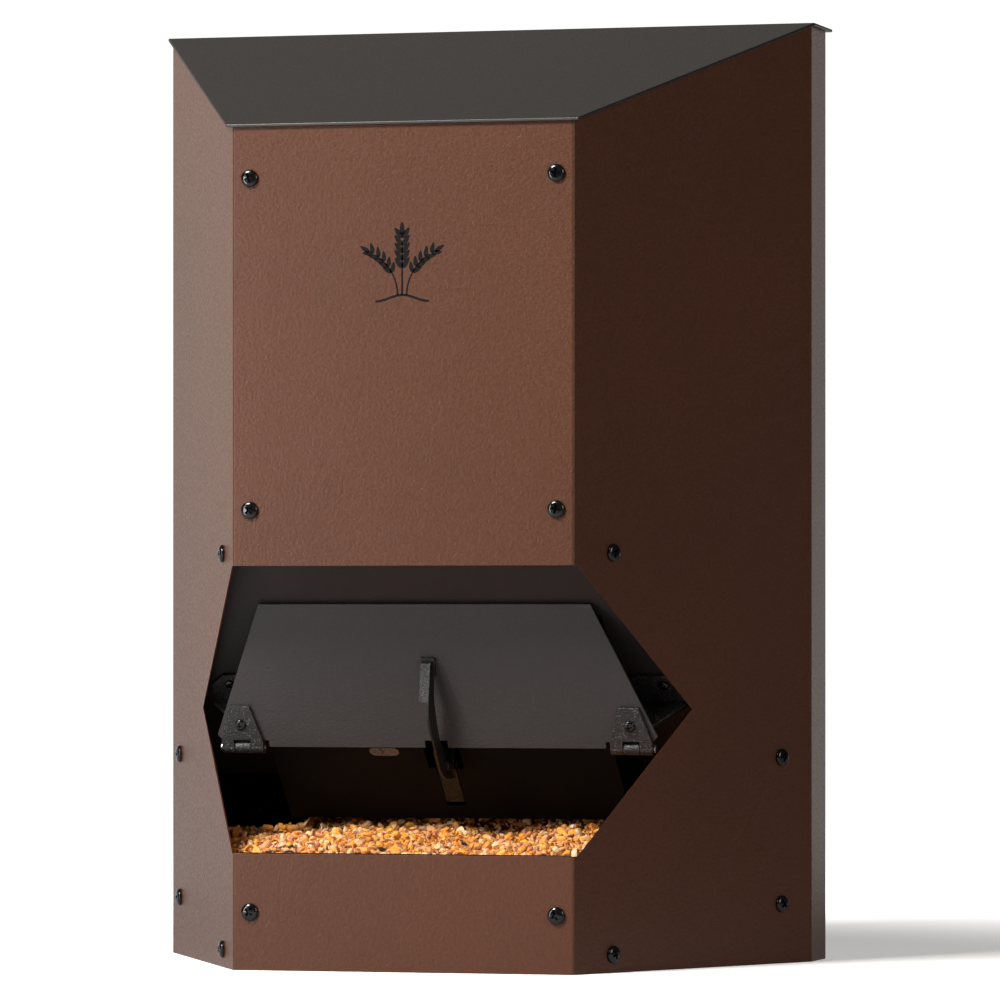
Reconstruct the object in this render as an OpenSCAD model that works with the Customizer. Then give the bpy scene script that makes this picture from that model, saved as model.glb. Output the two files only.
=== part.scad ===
// Gravity game feeder: folded sheet casing with a hopper, a hinged roof,
// and a powered flap over the feed tray.
// Y is written from the outer face of the front panel, and place() centres it.

/* [Casing] */
// Width of the flat front panel
front_w = 241.6; // [238:0.2:245]
// Width across the back
back_w = 472; // [466:1:478]
// Depth of the slanted side panels, front to back
chamfer_d = 216; // [212:1:220]
// Depth of the straight returns behind the slanted panels
return_d = 44; // [42:1:50]
// Thickness of the casing sheet
sheet_t = 1.5; // [1.2:0.1:1.6]

/* [Feeding opening] */
// Height of the front lip
lip_z = 80; // [80:0.5:84]
// Height of the opening's upper edge
open_top_z = 277; // [270:1:282]
// Half width of the opening at its widest point
open_half_w = 177; // [172:1:179]

/* [Roof] */
// Height of the roof's front edge
roof_front_z = 579.5; // [570:0.5:585]
// Overall height, at the roof's rear strip
top_z = 659; // [655:0.5:665]
// Thickness of the roof sheet
roof_t = 2; // [1.5:0.1:2.5]
// Overhang of the roof at the sides
roof_side = 4; // [3:0.5:6]
// Overhang of the roof behind the back panel
roof_back = 10; // [9:0.5:12]

/* [Flap] */
// Length of the flap from its hinge axis to its free edge
flap_len = 105.4; // [95:0.2:106]
// Half width of the flap at its free edge
flap_top_half = 119; // [112:1:120]
// Half width of the flap near its hinge
flap_low_half = 158.5; // [156:0.5:160]
// Lean of the open flap, measured from the level
flap_angle = 71.07; // [71:0.01:72]

/* [Drive] */
// Throw of the crank
crank_r = 16; // [15:0.1:16]
// Running clearance on a radius
run_c = 0.06; // [0.03:0.01:0.1]

/* [Fasteners] */
// Thread diameter of the casing screws
m_case = 6; // [5:1:6]
// Head diameter of the casing screws
m_case_head = 12; // [10:0.5:12]
// Thread diameter of the hinge screws
m_hinge = 4; // [3:1:4]

/* [Hidden] */

$fn = 48;
eps = 0.01;

// colours
BROWN = [0.46, 0.33, 0.26];
ROOFC = [0.27, 0.25, 0.24];
BLACK = [0.13, 0.12, 0.12];
FLAPC = [0.24, 0.22, 0.22];
PLAST = [0.20, 0.20, 0.20];
STEEL = [0.72, 0.72, 0.72];
SCREWC = [0.06, 0.06, 0.06];

// casing plan
fh = front_w/2;
bh = back_w/2;
depth = chamfer_d + return_d;
cha = atan2(chamfer_d, bh - fh);          // slanted panel's angle from the front
head_h = 3.4;
roof_over = 2.5;
y_max = depth + roof_back;
y_mid = (y_max - head_h)/2;
function inset(o, yb) = [
  [-(fh - o*tan(cha/2)), o], [fh - o*tan(cha/2), o],
  [bh - o, chamfer_d + o*tan((90 - cha)/2)], [bh - o, yb],
  [-(bh - o), yb], [-(bh - o), chamfer_d + o*tan((90 - cha)/2)]];

// roof lines
ridge_y = 214;
rs = atan2(top_z - roof_front_z, ridge_y + roof_over);  // roof slope
function roof_top(y) = roof_front_z + (y + roof_over)*tan(rs);
function roof_under(y) = roof_top(y) - roof_t/cos(rs);
ridge_in = ridge_y + roof_t*tan(rs/2);
lid_gap = 0.4;

// flap hinge axis and the sloping slab that holds the drive
hy = 85.8;
hz = 151.5;
ua = 180 - flap_angle;                     // direction of the open flap
n_low = 5.94;                              // lower face of the drive housing
n_top = 48.22;                             // underside of the baffle
d_a = 4.24;                                // fold of the housing's front
d_b = 77.8;                                // lower end of the housing
d_d = -82.2;                               // upper end of the housing
hw = 124;                                  // half width of the housing
ht = 1.5;                                  // housing sheet
cd = -33.45;                               // crank axis in the slab
cn = 36.56;
td = crank_r;                              // pivot of link and arm
tn = 0;

// X ranges of the drive
arm_hw = 6.5;
rib_hw = 3.5;
web_t = 1.6;
link_x0 = 7; link_x1 = 10;
crank_x0 = 10.4; crank_x1 = 14.4;
gb_x0 = 17; gb_x1 = 36; mot_x1 = 63;

// X ranges of a flap hinge
kx = [125, 134, 134.3, 145.7, 146, 155];
kr = 4.5;
pin_r = 1.5;

module place() translate([0, -y_mid, 0]) children();
// profile in (Y, Z), drawn out along X
module along_x(w) rotate([90, 0, 90]) linear_extrude(w, center = true) children();
module from_x(x0, x1) translate([x0, 0, 0]) rotate([90, 0, 90]) linear_extrude(x1 - x0) children();
// frame of the sloping slab: origin on the flap hinge, Y down the slope, Z towards the hopper
module slab() place() translate([0, hy, hz]) rotate([-45, 0, 0]) children();
// frame of the open flap: Y along the flap, Z out of its front face
module flapf() place() translate([0, hy, hz]) rotate([ua, 0, 0]) children();
module rod_x(x0, x1, d, n, r) translate([x0, d, n]) rotate([0, 90, 0]) cylinder(h = x1 - x0, r = r);
module both() { children(); mirror([1, 0, 0]) children(); }

// ---------------------------------------------------------------- fasteners
module pan_head(r, h) rotate_extrude() polygon([[0, 0], [r, 0], [r, h*0.42], [r*0.95, h*0.62],
  [r*0.82, h*0.82], [r*0.6, h*0.95], [r*0.35, h], [0, h]]);
// head base on z = 0, shank below it
module pan_screw(d, hd, hh, len) difference() {
  union() { pan_head(hd/2, hh); translate([0, 0, -len]) cylinder(h = len + eps, d = d); }
  for (a = [45, 135]) rotate(a) translate([-hd*0.27, -hd*0.05, hh*0.4]) cube([hd*0.54, hd*0.1, hh]);
}
module hex_nut(d, af, h) difference() {
  cylinder(h = h, r = af/2/cos(30), $fn = 6);
  translate([0, 0, -1]) cylinder(h = h + 2, d = d + 0.1);
}

// casing screws: [x, y, z, turn about Z]
function on_front(x, z) = [x, 0, z, 0];
function on_side(s, d, z) = [s*(fh + d*cos(cha)), d*sin(cha), z, s*cha];
CASE = [for (s = [-1, 1]) each [
  on_front(s*108.7, 542.4), on_front(s*108.7, 315), on_front(s*108.7, 40),
  on_side(s, 39, 285.8), on_side(s, 39, 12.5), on_side(s, 212.5, 144), on_side(s, 212.5, 41.5)]];
module at_screws(list) for (p = list) translate([p[0], p[1], p[2]]) rotate([90, 0, p[3]]) children();
module case_holes(grow = 0.3) at_screws(CASE) translate([0, 0, -12]) cylinder(h = 24, d = m_case + 2*grow);

module casing_screws() color(SCREWC) place() at_screws(CASE) pan_screw(m_case, m_case_head, head_h, 9.6);
module casing_nuts() color(STEEL) place() at_screws(CASE)
  translate([0, 0, -2*sheet_t - 5]) hex_nut(m_case, 10, 5);

// ---------------------------------------------------------------- casing
module above_casing() along_x(700) polygon([[-30, roof_under(-30) - lid_gap],
  [ridge_in, top_z - roof_t - lid_gap], [400, top_z - roof_t - lid_gap], [400, 900], [-30, 900]]);
module opening_cut() translate([0, 150, 0]) rotate([90, 0, 0]) linear_extrude(200)
  polygon([[-fh - 1.6, lip_z], [fh + 1.6, lip_z], [open_half_w, (lip_z + open_top_z)/2],
    [fh + 1.6, open_top_z], [-fh - 1.6, open_top_z], [-open_half_w, (lip_z + open_top_z)/2]]);

module front_shell() color(BROWN) place() difference() {
  linear_extrude(700) difference() { polygon(inset(0, depth)); polygon(inset(sheet_t, depth + 5)); }
  above_casing();
  opening_cut();
  case_holes();
}

// back panel with side flanges inside the returns and four wall-fixing holes
wall_x = 150; wall_z0 = 250; wall_z1 = 550;
bp_top = 654.5;
module back_panel() color(BROWN) place() difference() {
  union() {
    translate([-bh + sheet_t, depth - sheet_t, 0]) cube([back_w - 2*sheet_t, sheet_t, bp_top]);
    both() translate([bh - 2*sheet_t, depth - 20, 0]) cube([sheet_t, 20 - sheet_t + eps, bp_top]);
  }
  for (x = [-wall_x, wall_x], z = [wall_z0, wall_z1]) translate([x, depth + 5, z]) rotate([90, 0, 0]) cylinder(h = 10, r = 3.3);
  both() for (x = [130, 170], z = [630, 640]) translate([x, depth + 5, z]) rotate([90, 0, 0]) cylinder(h = 10, r = 2.05);
}

// floor sheet with a flange against the front and short flanges against the slanted panels
bp_back = depth - sheet_t;
module base_pan() color(BLACK) place() difference() {
  union() {
    linear_extrude(sheet_t) polygon(inset(sheet_t, bp_back - 0.1));
    intersection() {
      linear_extrude(52) difference() { polygon(inset(sheet_t, bp_back)); polygon(inset(2*sheet_t, bp_back + 5)); }
      translate([-fh + 8, 0, 0]) cube([2*fh - 16, 10, 52]);
    }
    intersection() {
      linear_extrude(24) difference() { polygon(inset(sheet_t, bp_back)); polygon(inset(2*sheet_t, bp_back + 5)); }
      translate([-bh, 12, 0]) cube([2*bh, 100, 24]);
    }
  }
  both() translate([bh - 2*sheet_t - 0.2, depth - 20.2, -1]) cube([10, 30, 10]);
  case_holes();
}

// feed tray: tub with a top flange that reaches the casing
tray_in = 10;
tray_back = 204;
fl_z = 77;
module tray_region(o, yb = tray_back) intersection() { polygon(inset(o, depth)); translate([-300, 0]) square([600, yb]); }
// space under the ramp
module under_ramp() along_x(700) polygon([[ramp_y0 - 0.3, ramp_z0 - 0.1], [ramp_y0 - 0.3, ramp_z0 + 0.3],
  [ramp_y1, ramp_z1 + 0.8], [400, ramp_z1], [400, ramp_z0 - 0.1]]);
module feed_tray() color(BLACK) place() difference() {
  union() {
    translate([0, 0, sheet_t]) linear_extrude(sheet_t) tray_region(tray_in, 166);
    translate([0, 0, sheet_t]) linear_extrude(fl_z) difference() {
      tray_region(tray_in); polygon(inset(tray_in + sheet_t, depth + 50)); }
    translate([0, 0, fl_z]) linear_extrude(sheet_t) difference() {
      union() { tray_region(sheet_t + 0.2, 168); tray_region(2*sheet_t + 0.2); }
      polygon(inset(tray_in + sheet_t, depth + 50)); }
    // upturned hem behind the lip
    translate([-fh + 2.5, sheet_t + 0.2, fl_z]) cube([2*fh - 5, 1.2, lip_z + 0.7 - fl_z]);
  }
  under_ramp();
  translate([-300, 166, -1]) cube([600, 200, 5]);
}

// sloping floor behind the tray, with side flanges held by the rear side screws
ramp_y0 = 160; ramp_z0 = 3.2; ramp_y1 = 256; ramp_z1 = 160;
ra = atan2(ramp_z1 - ramp_z0, ramp_y1 - ramp_y0);
module ramp_line(g) polygon([[ramp_y0, ramp_z0], [ramp_y1, ramp_z1],
  [ramp_y1, ramp_z1 - g/cos(ra)], [ramp_y0 + g/sin(ra), ramp_z0]]);
module rear_ramp() color(BLACK) place() difference() {
  union() {
    intersection() {
      along_x(600) ramp_line(sheet_t);
      linear_extrude(400) union() {
        polygon(inset(2*sheet_t + 0.2, depth - sheet_t - 0.5));
        tray_region(2*sheet_t - 0.2, 230);
      }
    }
    translate([-bh + 4, ramp_y1 - eps, ramp_z1 - 1]) cube([back_w - 8, depth - sheet_t - ramp_y1, 16]);
    intersection() {
      linear_extrude(160) difference() { polygon(inset(sheet_t, depth - 4)); polygon(inset(2*sheet_t, depth)); }
      along_x(600) polygon([[177, 32], [180, 22], [196, 22], [214, 80], [214, 158], [177, 158]]);
    }
  }
  case_holes();
  // notches round the nuts
  at_screws(CASE) translate([0, 0, -2*sheet_t - 6.5]) cylinder(h = 6.6, r = 7.2);
}

// feed lying in the tray and banked up behind the drive housing
module feed_top() polygon([[0, 0], [0, 78.7], [9, 78.8], [20, 81.5], [60, 86.8], [100, 92], [138, 96.5], [152, 98.5],
  [185, 113], [255, 156], [255, 0]]);
module feed_room() intersection() {
  along_x(600) polygon([[0, 3], [ramp_y0 - 0.3, 3], [ramp_y0 - 0.3, ramp_z0],
    [ramp_y0, ramp_z0 + 0.1], [ramp_y1 - 1, ramp_z1 - 1.4], [ramp_y1 - 1, 300], [0, 300]]);
  along_x(600) feed_top();
}
module feed_bed() color([0.85, 0.58, 0.25]) place() union() {
  intersection() { feed_room(); translate([0, 0, 3]) linear_extrude(fl_z + sheet_t - 3) polygon(inset(tray_in + sheet_t + 0.02, 255)); }
  intersection() { feed_room(); translate([0, 0, fl_z + sheet_t]) linear_extrude(200) polygon(inset(2*sheet_t + 8.2, 255)); }
  intersection() {
    feed_room();
    translate([0, 0, fl_z + sheet_t]) linear_extrude(200) intersection() {
      polygon(inset(2*sheet_t + 0.2, 255)); translate([-300, 0]) square([600, 150]); }
  }
}

// ---------------------------------------------------------------- hopper parts
module slope_band(n0, n1) along_x(700) translate([hy, hz]) rotate(-45)
  polygon([[-400, n0], [d_b, n0], [d_b, n1], [-400, n1]]);
hole_d0 = -56; hole_d1 = 47; hole_x0 = -10; hole_x1 = 19;
module bracket_hole_pts() both() translate([157, -16.1, 0]) children();
COVER_PTS = [for (x = [hole_x0 - 8, hole_x1 + 8], d = [hole_d0 + 18, hole_d1 - 18]) [x, d]];
module hopper_baffle() color(BLACK) difference() {
  union() {
    place() intersection() {
      slope_band(n_top, n_top + sheet_t);
      linear_extrude(330) polygon(inset(sheet_t, depth));
    }
    // flange on the front panel
    place() intersection() {
      translate([-fh + 6, sheet_t, 300]) cube([2*fh - 12, sheet_t, 32]);
      along_x(600) translate([hy, hz]) rotate(-45) polygon([[-400, n_top], [400, n_top], [400, 300], [-400, 300]]);
    }
    // flanges on the slanted panels
    place() intersection() {
      linear_extrude(330) difference() { polygon(inset(sheet_t, depth)); polygon(inset(2*sheet_t, depth + 1)); }
      slope_band(n_top, n_top + 26);
      translate([-bh, 12, 0]) cube([2*bh, 92, 400]);
    }
  }
  slab() translate([hole_x0, hole_d0, n_top - 5]) cube([hole_x1 - hole_x0, hole_d1 - hole_d0, 10]);
  slab() bracket_hole_pts() cylinder(h = 100, r = m_hinge/2 + 0.2);
  slab() for (p = COVER_PTS) translate([p[0], p[1], n_top - 5]) cylinder(h = 20, r = 1.7);
  place() case_holes();
}

// cross brace behind the upper front screws
module top_brace() color(BLACK) place() difference() {
  union() {
    translate([-fh + 5, sheet_t, 528]) cube([2*fh - 10, sheet_t, 30]);
    translate([-fh + 5, sheet_t, 556.5]) cube([2*fh - 10, 18, sheet_t]);
    translate([-fh + 5, sheet_t + 16.5, 546]) cube([2*fh - 10, sheet_t, 11]);
  }
  case_holes();
}

// ---------------------------------------------------------------- drive housing
fa = atan2(n_top - n_low, d_d - d_a);      // direction of the housing's front wall
module housing_in(g) polygon([
  [d_a + g*tan((180 - fa)/2) , n_low + g],
  [d_b - g, n_low + g], [d_b - g, n_top + 20],
  [d_a + g*tan((180 - fa)/2) + (n_top + 20 - n_low - g)/tan(fa), n_top + 20]]);
win_x = -42; win_w = 21.4; win_d0 = 7.1; win_d1 = 15.1;
module housing_cuts() {
  // way for the lift arm and the link
  translate([-12.6, -24, -20]) cube([25.2, 24 + 27.2, 60]);
  translate([-7, 20, 0]) cube([14, 45.2, 20]);
  // oblong window for the button and the light
  oblong(0, 12, 0);
}
module oblong(n0, h, gap) {
  r = (win_d1 - win_d0)/2;
  translate([win_x, (win_d0 + win_d1)/2, n0]) linear_extrude(h) union() {
    square([win_w - 2*r, 2*(r - gap)], center = true);
    for (s = [-1, 1]) translate([s*(win_w/2 - r), 0]) circle(r = r - gap);
  }
}
module drive_housing() color(BLACK) slab() difference() {
  from_x(-hw, hw) polygon([[d_a, n_low], [d_b, n_low], [d_b, n_top], [d_d, n_top]]);
  from_x(-hw + ht, hw - ht) housing_in(ht);
  housing_cuts();
}

// cover on the hopper side over the sweep of the arm and crank
module cover_side(g) polygon([[hole_d0 - 8 + g, n_top + sheet_t], [hole_d0 + 6 + g, n_top + 19 - g],
  [hole_d1 - 1 - g, n_top + 19 - g], [hole_d1 + 6 - g, n_top + sheet_t]]);
module drive_cover() color(BLACK) slab() difference() {
  union() {
    from_x(hole_x0 - 1.5, hole_x1 + 1.5) cover_side(0);
    translate([hole_x0 - 14, hole_d0 - 14, n_top + sheet_t])
      cube([hole_x1 - hole_x0 + 28, hole_d1 - hole_d0 + 26, 1.5]);
  }
  from_x(hole_x0, hole_x1) polygon([[hole_d0 - 5, n_top + 1], [hole_d0 + 7.5, n_top + 17.5],
    [hole_d1 - 2.5, n_top + 17.5], [hole_d1 + 3.5, n_top + 1]]);
  for (p = COVER_PTS) translate([p[0], p[1], n_top - 5]) cylinder(h = 20, r = 1.7);
}
module cover_screws() color(SCREWC) slab() for (p = COVER_PTS)
  translate([p[0], p[1], n_top + sheet_t + 1.5]) pan_screw(3, 6, 1.8, 6);

// ---------------------------------------------------------------- flap hinges
module hinge_bracket() slab() difference() {
  union() {
    // plate on the baffle
    translate([0, 0, n_top - 3]) linear_extrude(3) polygon([[125, -24.6], [161, -24.6], [172, -15], [172, 1.5], [125, 1.5]]);
    // web down to the knuckle
    translate([0, 1.5, 0]) rotate([90, 0, 0]) linear_extrude(3) polygon([[125, n_top], [172, n_top], [172, 42],
      [150, 20], [kx[3], 9], [kx[3], 0], [kx[2], 0], [kx[2], 9], [128, 20], [125, 40]]);
    rod_x(kx[2], kx[3], 0, 0, kr);
  }
  rod_x(100, 200, 0, 0, pin_r + 0.02);
  translate([157, -16.1, 0]) cylinder(h = 100, r = m_hinge/2 + 0.2);
}
module hinge_bracket_right() color(PLAST) hinge_bracket();
module hinge_bracket_left() color(PLAST) mirror([1, 0, 0]) hinge_bracket();
module hinge_pin() slab() { rod_x(124.4, 155.4 + eps, 0, 0, pin_r); rod_x(155.4, 156.6, 0, 0, 2.6); }
module hinge_pin_right() color(STEEL) hinge_pin();
module hinge_pin_left() color(STEEL) mirror([1, 0, 0]) hinge_pin();
module bracket_screws() color(SCREWC) slab() bracket_hole_pts() translate([0, 0, n_top - 3]) rotate([180, 0, 0]) pan_screw(m_hinge, 8, 2.4, 9);
module bracket_nuts() color(STEEL) slab() bracket_hole_pts() translate([0, 0, n_top + sheet_t]) hex_nut(m_hinge, 7, 3.2);

// ---------------------------------------------------------------- motor, cells, board
module motor_body(x0, x1, r) rod_x(x0, x1, cd, cn, r);
module gearbox() color(STEEL) slab() difference() {
  union() { motor_body(gb_x0, gb_x1, 8); motor_body(gb_x0 - 1.2, gb_x0 + 1, 4); }
  motor_body(gb_x0 - 3, gb_x0 + 10, 2 + run_c);
}
module gear_motor() color(STEEL) slab() { motor_body(gb_x1, mot_x1, 7.75); motor_body(mot_x1 - eps, mot_x1 + 1.6, 3); }
module motor_saddle() color(BLACK) slab() difference() {
  intersection() {
    from_x(40, 58) polygon([[cd - 20, 0], [cd + 14, 0], [cd + 14, cn + 1], [cd - 20, cn + 1]]);
    from_x(30, 70) housing_in(ht);
  }
  motor_body(30, 70, 7.8);
}
bat_x0 = -119; bat_x1 = -62; bat_d0 = 10; bat_d1 = 73; bat_n0 = n_low + ht;
cell_n = bat_n0 + 1.5 + 7.4;
module battery_box() color(PLAST) slab() difference() {
  translate([bat_x0, bat_d0, bat_n0]) cube([bat_x1 - bat_x0, bat_d1 - bat_d0, 15]);
  translate([bat_x0 + 1.5, bat_d0 + 1.3, bat_n0 + 1.4]) cube([bat_x1 - bat_x0 - 3, bat_d1 - bat_d0 - 2.6, 20]);
}
module battery_cells() color([0.15, 0.35, 0.25]) slab() for (i = [0:3]) {
  d = bat_d0 + 9 + i*15;
  rod_x(bat_x0 + 3, bat_x1 - 4.6, d, cell_n, 7.2);
  rod_x(bat_x1 - 4.6 - eps, bat_x1 - 3.4, d, cell_n, 2.7);
}
pcb_n = 14;
btn_x = -46; led_x = -37; btn_d = 11.1;
module control_board() color([0.08, 0.30, 0.16]) slab() {
  difference() {
    translate([-60, 6, pcb_n]) cube([42, 36, 1.6]);
    for (p = [[-57, 38], [-21, 38], [-57, 9], [-21, 9]]) translate([p[0], p[1], pcb_n - 1]) cylinder(h = 5, r = 1.2);
  }
  // switch body, controller chip, connectors
  difference() {
    translate([btn_x - 3, btn_d - 3, pcb_n - 3.5]) cube([6, 6, 3.5 + eps]);
    translate([btn_x, btn_d, pcb_n - 5]) cylinder(h = 4.6, r = 1.5 + run_c);
  }
  translate([-44, 22, pcb_n + 1.6 - eps]) cube([10, 10, 1.4]);
  translate([-58, 20, pcb_n + 1.6 - eps]) cube([5, 8, 5]);
  translate([-25, 20, pcb_n + 1.6 - eps]) cube([5, 8, 5]);
}
module board_standoffs() color(STEEL) slab() for (p = [[-57, 38], [-21, 38], [-57, 9], [-21, 9]])
  translate([p[0], p[1], n_low + ht]) difference() { cylinder(h = pcb_n - n_low - ht, r = 2.2); translate([0, 0, 1]) cylinder(h = 10, r = 1.1); }
// smoked pane that fills the window round the button, with the light's body behind it
module status_light() color([0.75, 0.85, 0.80]) slab() difference() {
  union() {
    oblong(n_low + 0.4, 1.6, 0.06);
    translate([led_x, btn_d, n_low + 1.8]) cylinder(h = pcb_n - n_low - 1.8, r = 2.4);
  }
  translate([btn_x, btn_d, 0]) cylinder(h = 20, r = 3.35);
}
module push_button() color([0.10, 0.10, 0.11]) slab() translate([btn_x, btn_d, 0]) {
  rotate_extrude() polygon([[0, 5.6], [2.7, 5.6], [3.2, 6.1], [3.2, 8.9], [0, 8.9]]);
  translate([0, 0, 8.9 - eps]) cylinder(h = 2.6, r = 1.5);
}
module wire(pts, r = 0.8) for (i = [0:len(pts) - 2]) {
  v = pts[i + 1] - pts[i]; l = norm(v);
  translate(pts[i]) rotate([0, acos(v[2]/l), atan2(v[1], v[0])]) cylinder(h = l, r = r, $fn = 16);
  if (i > 0) translate(pts[i]) sphere(r = r, $fn = 16);
}
module battery_lead() color([0.6, 0.1, 0.1]) slab() {
  wire([[-62, 24, 20], [-60.5, 24, 20], [-60.5, 24, 26], [-56, 24, 26], [-56, 24, 20.6]]);
  wire([[-62, 21.5, 20], [-60.5, 21.5, 20], [-60.5, 21.5, 26], [-56, 21.5, 26], [-56, 21.5, 20.6]]);
}
module motor_lead() color([0.1, 0.1, 0.1]) slab() {
  wire([[-21.2, 22, 20.6], [-21.2, 22, 30], [-21.2, 69, 30], [70, 69, 30], [70, cd + 4, 30], [70, cd + 4, cn + 3], [mot_x1, cd + 4, cn + 3]]);
  wire([[-23.8, 26, 20.6], [-23.8, 26, 33], [-23.8, 72, 33], [73, 72, 33], [73, cd - 3, 33], [mot_x1, cd - 3, 33]]);
}

// ---------------------------------------------------------------- flap, arm, crank, link
fv0 = -0.5; fv1 = 1.2;                      // back and front faces of the flap
module door_flap() color(FLAPC) flapf() difference() {
  translate([0, 0, fv0]) linear_extrude(fv1 - fv0) polygon([[-155, 5], [-flap_low_half, 9], [-flap_top_half, flap_len],
    [flap_top_half, flap_len], [flap_low_half, 9], [155, 5], [121.5, 5], [121.5, 0.2], [8, 0.2], [8, 5.4], [-8, 5.4], [-8, 0.2],
    [-121.5, 0.2], [-121.5, 5]]);
  both() translate([140, 17.5, -20]) cylinder(h = 40, r = m_hinge/2 + 0.15);
  translate([0, 60.5, -20]) cylinder(h = 40, r = 1.7);
}
module door_leaf() flapf() difference() {
  union() {
    translate([0, 0, fv1]) linear_extrude(3) polygon([[kx[0], 0], [kx[1], 0], [kx[1], 6.5], [kx[4], 6.5], [kx[4], 0], [kx[5], 0],
      [kx[5], 6], [147.3, 31], [132.7, 31], [kx[0], 6]]);
    rod_x(kx[0], kx[1], 0, 0, kr);
    rod_x(kx[4], kx[5], 0, 0, kr);
  }
  rod_x(100, 200, 0, 0, pin_r + run_c);
  translate([140, 17.5, -20]) cylinder(h = 40, r = m_hinge/2 + 0.15);
}
module door_hinge_leaf_right() color(PLAST) door_leaf();
module door_hinge_leaf_left() color(PLAST) mirror([1, 0, 0]) door_leaf();
module door_screws() color(SCREWC) flapf() both() translate([140, 17.5, fv1 + 3]) pan_screw(m_hinge, 8, 2.4, 8.4);
module door_nuts() color(STEEL) flapf() both() translate([140, 17.5, fv0 - 3.2]) hex_nut(m_hinge, 7, 3.2);

// hooked arm on the flap: rib profile in (Y, Z)
RIB = [[64.0, 211.9], [57, 210], [55.4, 205], [51.8, 183.4], [52.4, 176], [54, 170], [58.5, 163.5], [64.8, 156.5], [73, 147],
  [81.3, 137], [88.5, 132.2], [97, 129.6], [108, 129.2], [116, 129.7], [121, 130.4], [102, 149.4], [97.8, 150.8], [88, 152.2], [80.8, 156.5],
  [73, 168.5], [66.8, 183], [65.6, 193], [66.3, 205]];
TAB = [[40, 183.4], [55.6, 183.4], [58.2, 198.5], [70, 200.5], [70, 220], [40, 220]];
module lift_arm() color(PLAST) difference() {
  union() {
    // thin web at the right, full-width finger tab and head at the top
    place() from_x(rib_hw - web_t, rib_hw) polygon(RIB);
    place() along_x(2*rib_hw) intersection() { polygon(RIB); polygon(TAB); }
    // plate that lies in the slot
    slab() from_x(-arm_hw, arm_hw) polygon([[11, n_low], [60.5, n_low], [62.4, n_low + 1.5], [62.4, n_low + 4], [11, n_low + 4]]);
    slab() rod_x(rib_hw - eps, 6.6, td, tn, 4.5);
    // foot on the flap
    flapf() translate([-5, 54, fv1]) cube([10, 13, 2.4]);
  }
  slab() rod_x(-20, 20, td, tn, pin_r + 0.02);
  flapf() translate([0, 60.5, -12]) cylinder(h = 20, r = 1.25);
  // keeps the arm clear of the flap's front face
  flapf() translate([-20, 9, fv1 - 20]) cube([40, 100, 20]);
}
module arm_screw() color(SCREWC) flapf() translate([0, 60.5, fv0]) rotate([180, 0, 0]) pan_screw(2.4, 5.6, 1.7, 7);
module arm_pivot_pin() color(STEEL) slab() { rod_x(rib_hw - web_t, link_x1 + 0.4 + eps, td, tn, pin_r); rod_x(link_x1 + 0.4, link_x1 + 1.4, td, tn, 2.4); }

module drive_crank() color(BLACK) slab() difference() {
  union() {
    rod_x(crank_x0, crank_x1, cd, cn, 5);
    rod_x(crank_x0, crank_x1, cd + crank_r, cn, 4);
    translate([crank_x0, cd, cn - 3.5]) cube([crank_x1 - crank_x0, crank_r, 7]);
  }
  rod_x(0, 30, cd, cn, 2.02);
  rod_x(0, 30, cd + crank_r, cn, pin_r + 0.02);
}
module crank_shaft() color(STEEL) slab() rod_x(crank_x0, gb_x0 + 9, cd, cn, 2);
module crank_pin() color(STEEL) slab() { rod_x(link_x0, crank_x1 - 0.2, cd + crank_r, cn, pin_r); rod_x(crank_x1, crank_x1 + 0.8, cd + crank_r, cn, 2.2); rod_x(crank_x1 - 0.3, crank_x1 + 0.1, cd + crank_r, cn, pin_r); }
lk = [cd, cn]; // link vector: parallel to the line from hinge axis to crank axis
module drive_link() color(BLACK) slab() difference() {
  union() {
    rod_x(link_x0, link_x1, td, tn, 4.2);
    rod_x(link_x0, link_x1, td + lk[0], tn + lk[1], 4.2);
    translate([link_x0, td, tn]) rotate([atan2(lk[1], lk[0]), 0, 0]) translate([0, 0, -3]) cube([link_x1 - link_x0, norm(lk), 6]);
  }
  rod_x(0, 30, td, tn, pin_r + 0.3);
  rod_x(0, 30, td + lk[0], tn + lk[1], pin_r + run_c);
}

// ---------------------------------------------------------------- roof
rh = fh + roof_side;
module roof_plan(w = 0) polygon([
  [-(fh + roof_side), -roof_over], [fh + roof_side, -roof_over],
  [bh + 2.8, ridge_y], [bh + 2.8, y_max], [-(bh + 2.8), y_max], [-(bh + 2.8), ridge_y]]);
module roof_lid() color(ROOFC) place() intersection() {
  along_x(600) polygon([[-roof_over, roof_front_z], [ridge_y, top_z], [y_max, top_z], [y_max, top_z - roof_t],
    [ridge_in, top_z - roof_t], [-roof_over - 10, roof_under(-roof_over - 10)], [-roof_over - 10, roof_top(-roof_over - 10)]]);
  linear_extrude(800) roof_plan();
}
module roof_stiffener() color(BLACK) place() difference() {
  along_x(280) polygon([[44, roof_under(44)], [44, roof_under(44) - 12], [66, roof_under(66) - 12], [66, roof_under(66)]]);
  along_x(300) polygon([[45.5, roof_under(45.5) + 1], [45.5, roof_under(45.5) - 10.4], [64.5, roof_under(64.5) - 10.4], [64.5, roof_under(64.5) + 1]]);
}
rhy = depth + 5; rhz = 651.6; rkr = 3.9; rpin = 1.5;
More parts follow.
